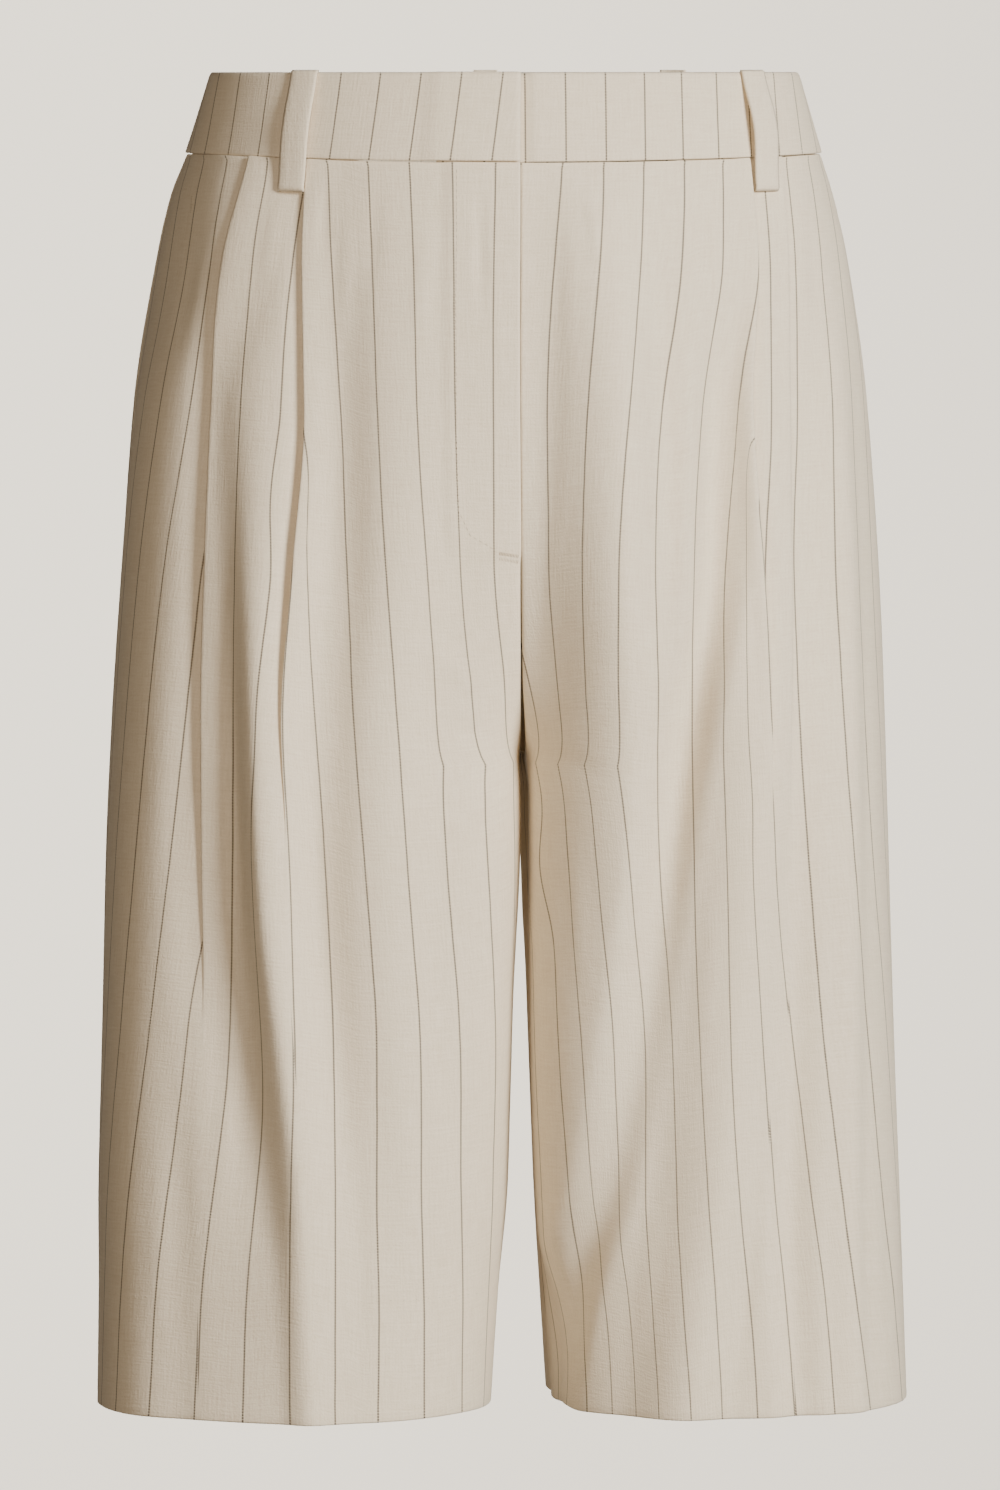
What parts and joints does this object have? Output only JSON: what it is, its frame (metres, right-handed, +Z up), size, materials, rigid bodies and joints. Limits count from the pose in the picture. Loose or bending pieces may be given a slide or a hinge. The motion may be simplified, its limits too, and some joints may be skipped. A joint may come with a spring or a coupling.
{
  "type": "bermuda shorts",
  "caption": "Tailored pleated bermuda shorts in pinstripe cloth, held at the waist and hanging open and hollow, with straight wide legs.",
  "frame": {"origin": "middle of the waist, halfway up the waistband, where the wearer's waist holds the shorts up", "axes": "+Z up, +X to the wearer's left, the front of the shorts faces -Y"},
  "size_m": [0.3669, 0.2779, 0.6034],
  "materials": {
    "pinstripe_cloth": "matte plain weave, cream with thin dotted dark pinstripes about 22 mm apart",
    "plain_cloth": "matte plain weave, cream"
  },
  "bodies": {
    "root": {"front_right": "pinstripe_cloth", "front_left": "pinstripe_cloth", "back_right": "pinstripe_cloth", "back_left": "pinstripe_cloth", "waistband_right": "pinstripe_cloth", "waistband_left": "pinstripe_cloth", "fly_underlap": "plain_cloth", "belt_loop_front_right": "plain_cloth", "belt_loop_front_left": "plain_cloth", "belt_loop_back_right": "plain_cloth", "belt_loop_back_left": "plain_cloth", "belt_loop_centre_back": "plain_cloth"}
  },
  "joints": []
}
